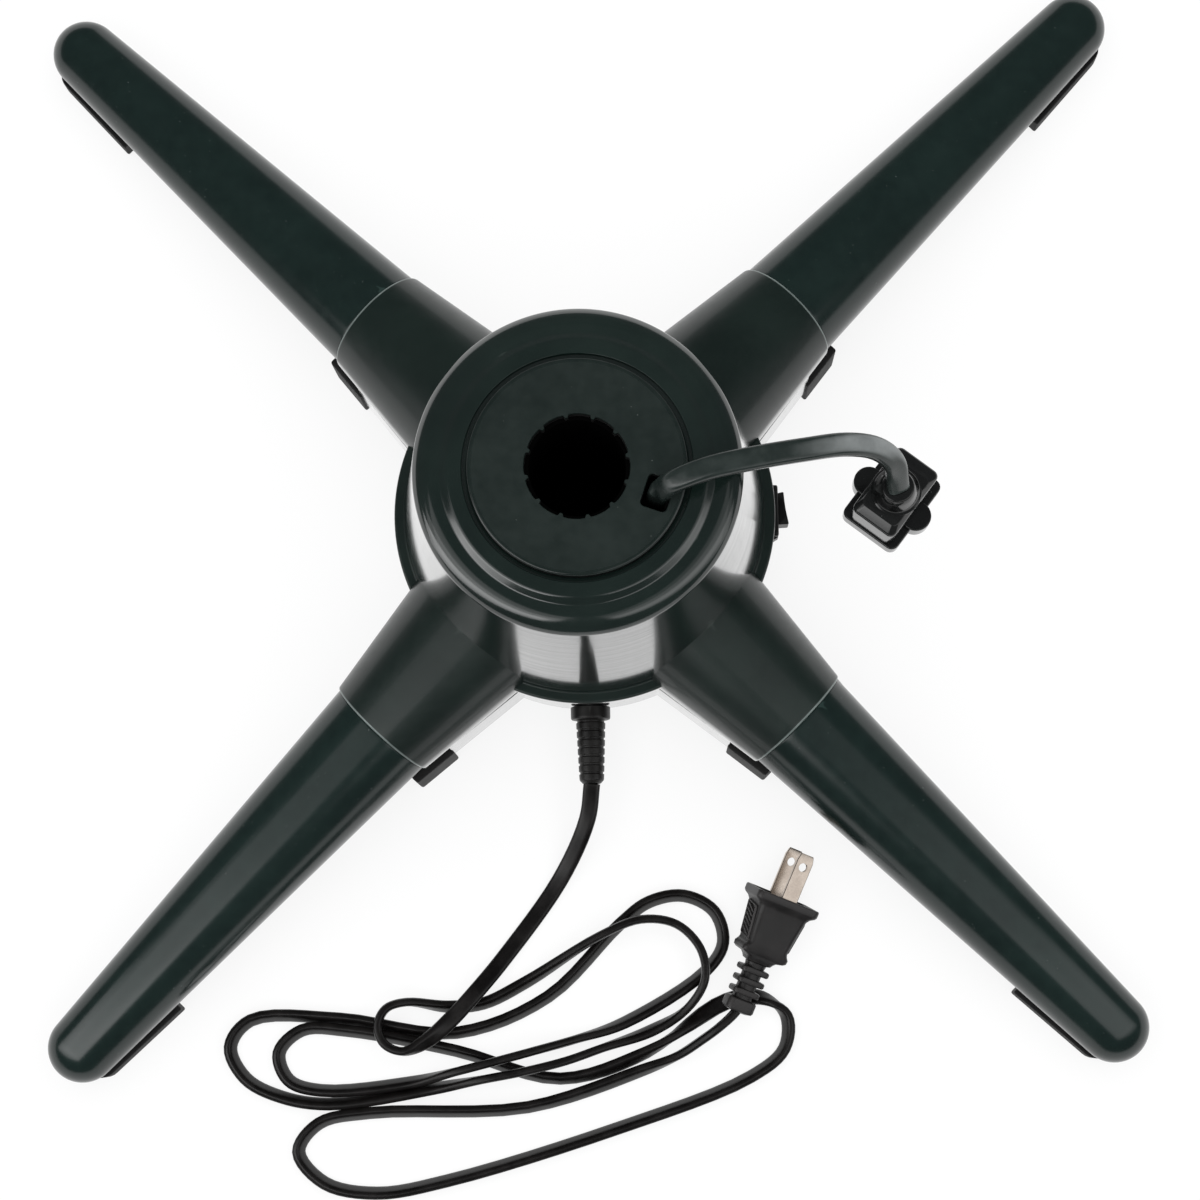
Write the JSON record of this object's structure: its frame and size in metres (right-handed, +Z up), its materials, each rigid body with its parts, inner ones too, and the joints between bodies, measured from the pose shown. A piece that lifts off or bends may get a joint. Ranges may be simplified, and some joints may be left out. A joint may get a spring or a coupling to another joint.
{
  "type": "rotating christmas tree stand",
  "caption": "Rotating stand for an artificial tree: hub with a motor-driven toothed pole socket, plug-in legs, rocker switch, mains lead and a ride-along outlet.",
  "frame": {"origin": "on the floor, on the turntable's axis", "axes": "+Z up along the pole; legs on the 45 degree diagonals; mains lead leaves towards -Y; switch on +X"},
  "size_m": [0.4004, 0.4442, 0.1611],
  "materials": {
    "hub_plastic": "dark green-black moulded plastic, glossy, faint turned lines",
    "leg_plastic": "dark green moulded plastic, satin gloss",
    "disc_plastic": "dark green moulded plastic, satin",
    "foot_rubber": "black rubber, matt",
    "plated_screw": "zinc plated",
    "gear_plastic": "natural acetal",
    "spring_steel": "blued spring steel",
    "insulating_board": "brown insulating laminate",
    "contact_brass": "plain",
    "black_plastic": "black, satin",
    "bearing_steel": "ground",
    "motor_steel": "zinc plated sheet",
    "carbon": "carbon brush",
    "rocker_plastic": "black, glossy",
    "boot_rubber": "black vinyl, satin",
    "lead_vinyl": "black-brown vinyl, satin",
    "plug_vinyl": "black vinyl, satin",
    "blade_metal": "nickel plated brass",
    "outlet_vinyl": "dark green-black vinyl, satin",
    "tap_plastic": "black, satin gloss"
  },
  "bodies": {
    "stand": {"hub_housing": "hub_plastic", "base_cover": "hub_plastic", "base_screws": "plated_screw", "leg_rear_right": "leg_plastic", "leg_rear_left": "leg_plastic", "leg_front_left": "leg_plastic", "leg_front_right": "leg_plastic", "leg_screws": "plated_screw", "tip_pad_rear_right": "foot_rubber", "tip_pad_rear_left": "foot_rubber", "tip_pad_front_left": "foot_rubber", "tip_pad_front_right": "foot_rubber", "socket_foot_rear_right": "foot_rubber", "socket_foot_rear_left": "foot_rubber", "socket_foot_front_left": "foot_rubber", "socket_foot_front_right": "foot_rubber", "guide_ring": "gear_plastic", "lower_race": "bearing_steel", "motor_can": "motor_steel", "gearbox": "motor_steel", "gearbox_screws": "plated_screw", "brush_bracket": "motor_steel", "brush_holder": "insulating_board", "brushes": "carbon", "bracket_screws": "plated_screw", "switch_body": "black_plastic", "terminal_block": "gear_plastic", "strain_relief": "boot_rubber", "mains_cord": "lead_vinyl", "plug_body": "plug_vinyl", "plug_blades": "blade_metal"},
    "turntable": {"turntable_disc": "disc_plastic", "pole_tube": "hub_plastic", "disc_screws": "plated_screw", "drive_gear": "gear_plastic", "gear_clip": "spring_steel", "slip_ring_disc": "insulating_board", "slip_ring_tracks": "contact_brass", "slip_ring_clip": "spring_steel", "cord_grip": "black_plastic", "upper_race": "bearing_steel", "outlet_cord": "outlet_vinyl", "outlet_tap": "tap_plastic", "tap_contacts": "contact_brass"},
    "pinion": {"output_shaft": "bearing_steel", "drive_pinion": "gear_plastic"},
    "ball_ring": {"bearing_balls": "bearing_steel", "ball_cage": "gear_plastic"},
    "rocker": {"switch_rocker": "rocker_plastic"}
  },
  "joints": [
    {"name": "turntable_spin", "type": "hinge", "parent": "stand", "child": "turntable", "pos_m": [0, 0, 0.143], "axis": [0, 0, 1], "continuous": true},
    {"name": "pinion_spin", "type": "hinge", "parent": "stand", "child": "pinion", "pos_m": [-0.045, 0, 0.045], "axis": [0, 0, 1], "continuous": true},
    {"name": "ball_ring_spin", "type": "hinge", "parent": "stand", "child": "ball_ring", "pos_m": [0, 0, 0.0164], "axis": [0, 0, 1], "continuous": true},
    {"name": "switch_press", "type": "hinge", "parent": "stand", "child": "rocker", "pos_m": [0.066, 0.0024, 0.027], "axis": [0, 0, 1], "range_deg": [-16, 0]}
  ],
  "couplings": [
    {"joint": "pinion_spin", "follows": "turntable_spin", "ratio": -3},
    {"joint": "ball_ring_spin", "follows": "turntable_spin", "ratio": 0.5}
  ]
}
